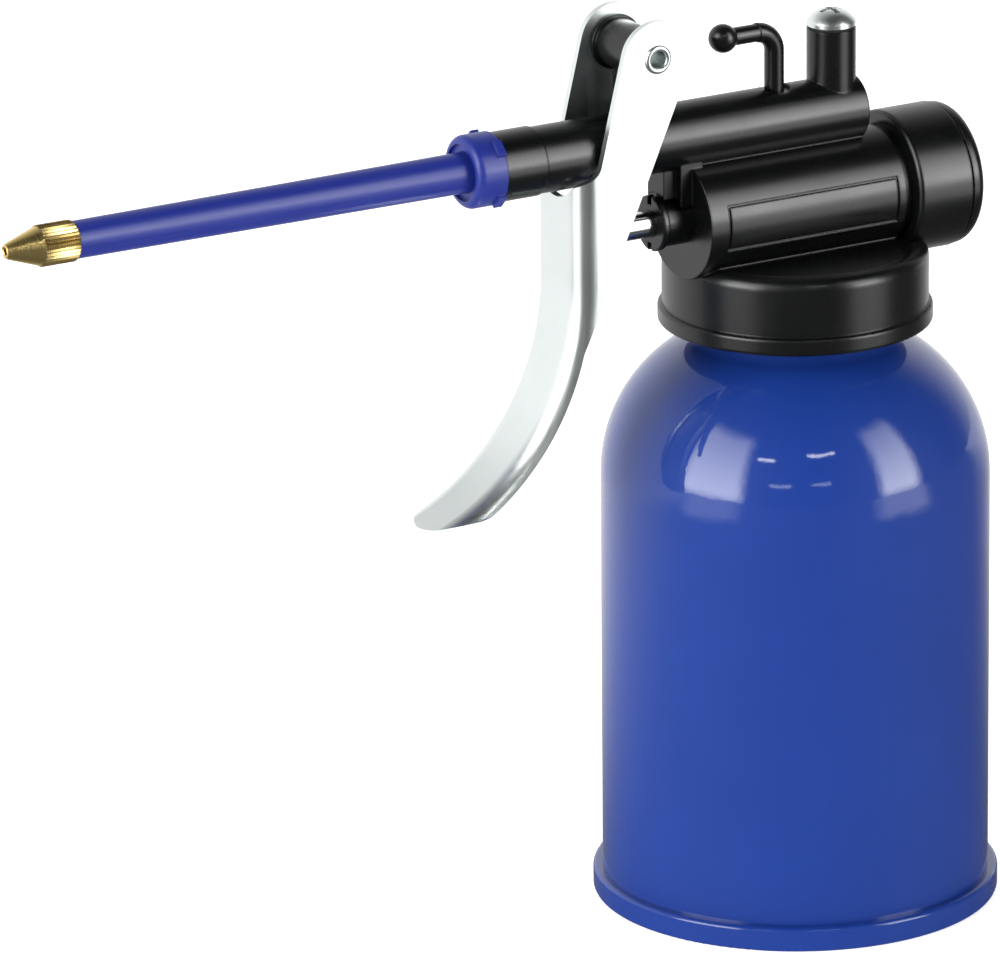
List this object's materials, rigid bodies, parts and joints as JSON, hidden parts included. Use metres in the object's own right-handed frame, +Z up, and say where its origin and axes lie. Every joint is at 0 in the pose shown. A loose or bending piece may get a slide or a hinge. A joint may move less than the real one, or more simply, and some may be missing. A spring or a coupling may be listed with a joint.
{
  "type": "pump oil can",
  "caption": "Hand oiler: a round steel can with a screw-on pump head, squeeze trigger, rigid spout and brass nozzle.",
  "frame": {"origin": "centre of the can's round foot, on the surface it stands on", "axes": "+Z up along the can's axis; -X along the spout; the pump head's side with the engraved frame faces -Y"},
  "size_m": [0.1817, 0.0682, 0.157],
  "materials": {
    "blue_enamel": "gloss stoved enamel on steel",
    "black_moulding": "satin moulded black",
    "blue_moulding": "semi-gloss moulded blue",
    "rubber_seal": "oil-resistant rubber",
    "turned_brass": "turned and knurled",
    "zinc_plated_steel": "bright zinc plate",
    "polished_steel": "ground and polished",
    "spring_steel": "drawn wire",
    "white_nylon": "moulded nylon",
    "clear_nylon": "extruded tube"
  },
  "bodies": {
    "can": {"can_body": "blue_enamel", "neck_ferrule": "blue_enamel", "can_base": "blue_enamel"},
    "head": {"pump_head": "black_moulding", "cap_gasket": "rubber_seal", "end_cap": "black_moulding", "end_cap_seal": "rubber_seal", "gland_nut": "black_moulding", "rod_seal": "rubber_seal", "valve_screw": "zinc_plated_steel", "valve_screw_seal": "rubber_seal", "outlet_spring": "spring_steel", "stopcock_bush": "black_moulding", "spout_coupling": "black_moulding", "spout_seal": "rubber_seal", "spout_tube": "blue_moulding", "spout_nut": "blue_moulding", "nozzle_tip": "turned_brass", "inlet_seat": "turned_brass", "ball_keeper": "polished_steel", "dip_tube": "clear_nylon", "suction_strainer": "turned_brass"},
    "trigger": {"trigger_lever": "zinc_plated_steel", "pivot_rivet": "zinc_plated_steel"},
    "plunger": {"piston_rod": "polished_steel", "piston": "white_nylon", "piston_cup": "rubber_seal", "spring_seat": "zinc_plated_steel", "piston_nut": "zinc_plated_steel", "return_spring": "spring_steel"},
    "stopcock": {"stopcock_lever": "black_moulding"},
    "outlet_valve": {"outlet_ball": "polished_steel"},
    "inlet_valve": {"inlet_ball": "polished_steel"}
  },
  "joints": [
    {"name": "head_unscrew", "type": "hinge", "parent": "can", "child": "head", "pos_m": [0, 0, 0.104], "axis": [0, 0, 1], "range_deg": [0, 540]},
    {"name": "trigger_pull", "type": "hinge", "parent": "head", "child": "trigger", "pos_m": [-0.031, 0, 0.15064], "axis": [0, -1, 0], "range_deg": [0, 18], "stiffness_Nm_per_rad": 0.35, "springref_deg": -14.32},
    {"name": "plunger_slide", "type": "slide", "parent": "head", "child": "plunger", "axis": [1, 0, 0], "range_m": [0, 0.0093], "deforming": ["return_spring"]},
    {"name": "stopcock_turn", "type": "hinge", "parent": "head", "child": "stopcock", "pos_m": [-0.0041, 0, 0.13474], "axis": [0, 0, 1], "range_deg": [0, 90]},
    {"name": "outlet_lift", "type": "slide", "parent": "head", "child": "outlet_valve", "axis": [0, 0, 1], "range_m": [0, 0.001], "stiffness_N_per_m": 60, "springref_m": -0.001, "deforming": ["outlet_spring"]},
    {"name": "inlet_lift", "type": "slide", "parent": "head", "child": "inlet_valve", "axis": [0, 0, 1], "range_m": [0, 0.001]}
  ],
  "couplings": [
    {"joint": "plunger_slide", "follows": "trigger_pull", "m_per_rad": 0.0293}
  ]
}
